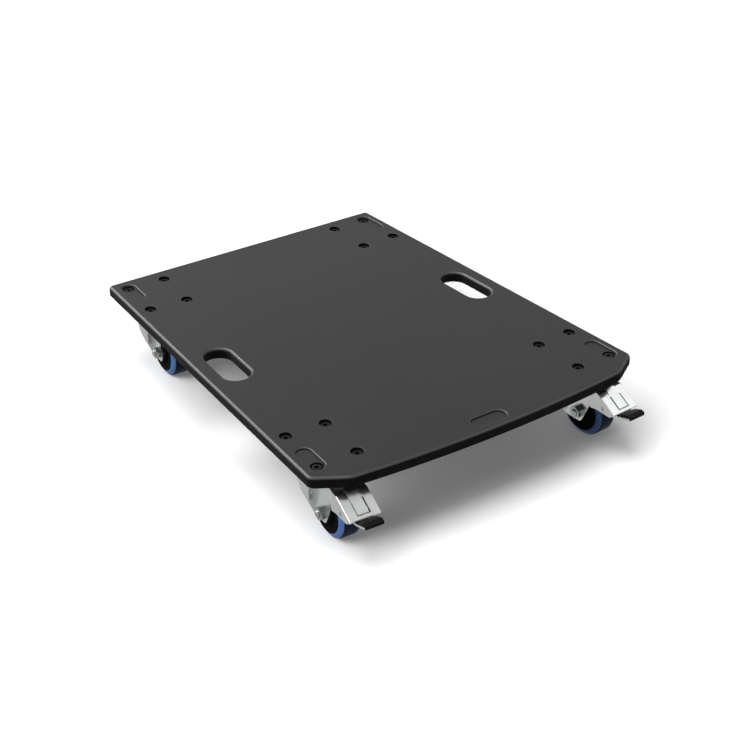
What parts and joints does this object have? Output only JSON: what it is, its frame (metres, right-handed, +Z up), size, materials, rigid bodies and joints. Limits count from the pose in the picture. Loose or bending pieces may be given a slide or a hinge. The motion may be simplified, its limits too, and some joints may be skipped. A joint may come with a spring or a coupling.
{
  "type": "caster board",
  "caption": "Flat rolling board with a tapered deck, hand slots, foot pockets and swivel casters with pedal brakes at the bowed end.",
  "frame": {"origin": "on the floor, under the middle of the whole board's bounding box", "axes": "+Z up, -Y towards the bowed end with the pedal brakes, +X to the right when looking along +Y"},
  "size_m": [0.5456, 0.692, 0.118],
  "materials": {
    "deck_coating": "matt charcoal wear coating with a fine grain over plywood",
    "black_steel": "black oxide cap screws, slightly oily sheen",
    "zinc": "bright zinc-plated pressed steel, satin",
    "zinc_bolt": "bright zinc-plated turned steel",
    "ball_steel": "polished bearing steel",
    "hub_black": "black moulded nylon hub",
    "blue_tyre": "blue elastic tyre, satin, darker where it is worn on the tread",
    "pedal_black": "black moulded pedal pad, satin"
  },
  "bodies": {
    "board": {"deck": "deck_coating", "caster_screws": "black_steel", "caster_nuts": "zinc_bolt", "front_left_plate": "zinc", "front_left_kingpin": "zinc", "front_right_plate": "zinc", "front_right_kingpin": "zinc", "back_left_plate": "zinc", "back_left_kingpin": "zinc", "back_right_plate": "zinc", "back_right_kingpin": "zinc"},
    "front_left_swivel": {"front_left_fork": "zinc", "front_left_lower_race": "zinc", "front_left_balls": "ball_steel", "front_left_axle_bolt": "zinc_bolt", "front_left_axle_nut": "zinc_bolt", "front_left_axle_sleeve": "zinc_bolt", "front_left_brake_pin": "zinc_bolt"},
    "front_left_wheel": {"front_left_rim": "hub_black", "front_left_tyre": "blue_tyre", "front_left_bearings": "ball_steel", "front_left_bearing_caps": "hub_black"},
    "front_left_brake": {"front_left_brake_lever": "zinc", "front_left_pedal": "pedal_black"},
    "front_right_swivel": {"front_right_fork": "zinc", "front_right_lower_race": "zinc", "front_right_balls": "ball_steel", "front_right_axle_bolt": "zinc_bolt", "front_right_axle_nut": "zinc_bolt", "front_right_axle_sleeve": "zinc_bolt", "front_right_brake_pin": "zinc_bolt"},
    "front_right_wheel": {"front_right_rim": "hub_black", "front_right_tyre": "blue_tyre", "front_right_bearings": "ball_steel", "front_right_bearing_caps": "hub_black"},
    "front_right_brake": {"front_right_brake_lever": "zinc", "front_right_pedal": "pedal_black"},
    "back_left_swivel": {"back_left_fork": "zinc", "back_left_lower_race": "zinc", "back_left_balls": "ball_steel", "back_left_axle_bolt": "zinc_bolt", "back_left_axle_nut": "zinc_bolt", "back_left_axle_sleeve": "zinc_bolt"},
    "back_left_wheel": {"back_left_rim": "hub_black", "back_left_tyre": "blue_tyre", "back_left_bearings": "ball_steel", "back_left_bearing_caps": "hub_black"},
    "back_right_swivel": {"back_right_fork": "zinc", "back_right_lower_race": "zinc", "back_right_balls": "ball_steel", "back_right_axle_bolt": "zinc_bolt", "back_right_axle_nut": "zinc_bolt", "back_right_axle_sleeve": "zinc_bolt"},
    "back_right_wheel": {"back_right_rim": "hub_black", "back_right_tyre": "blue_tyre", "back_right_bearings": "ball_steel", "back_right_bearing_caps": "hub_black"}
  },
  "joints": [
    {"name": "front_left_swivel_turn", "type": "hinge", "parent": "board", "child": "front_left_swivel", "pos_m": [-0.21607, -0.21448, 0.09225], "axis": [0, 0, 1], "continuous": true},
    {"name": "front_left_wheel_spin", "type": "hinge", "parent": "front_left_swivel", "child": "front_left_wheel", "pos_m": [-0.21797, -0.25243, 0.04], "axis": [0.9987, -0.05, 0], "continuous": true},
    {"name": "front_left_brake_press", "type": "hinge", "parent": "front_left_swivel", "child": "front_left_brake", "pos_m": [-0.22037, -0.30037, 0.067], "axis": [0.9987, -0.05, 0], "range_deg": [0, 12]},
    {"name": "front_right_swivel_turn", "type": "hinge", "parent": "board", "child": "front_right_swivel", "pos_m": [0.21607, -0.21448, 0.09225], "axis": [0, 0, 1], "continuous": true},
    {"name": "front_right_wheel_spin", "type": "hinge", "parent": "front_right_swivel", "child": "front_right_wheel", "pos_m": [0.21797, -0.25243, 0.04], "axis": [0.9987, 0.05, 0], "continuous": true},
    {"name": "front_right_brake_press", "type": "hinge", "parent": "front_right_swivel", "child": "front_right_brake", "pos_m": [0.22037, -0.30037, 0.067], "axis": [0.9987, 0.05, 0], "range_deg": [0, 12]},
    {"name": "back_left_swivel_turn", "type": "hinge", "parent": "board", "child": "back_left_swivel", "pos_m": [-0.19135, 0.27902, 0.09225], "axis": [0, 0, 1], "continuous": true},
    {"name": "back_left_wheel_spin", "type": "hinge", "parent": "back_left_swivel", "child": "back_left_wheel", "pos_m": [-0.19326, 0.24107, 0.04], "axis": [0.9987, -0.05, 0], "continuous": true},
    {"name": "back_right_swivel_turn", "type": "hinge", "parent": "board", "child": "back_right_swivel", "pos_m": [0.19135, 0.27902, 0.09225], "axis": [0, 0, 1], "continuous": true},
    {"name": "back_right_wheel_spin", "type": "hinge", "parent": "back_right_swivel", "child": "back_right_wheel", "pos_m": [0.19326, 0.24107, 0.04], "axis": [0.9987, 0.05, 0], "continuous": true}
  ]
}
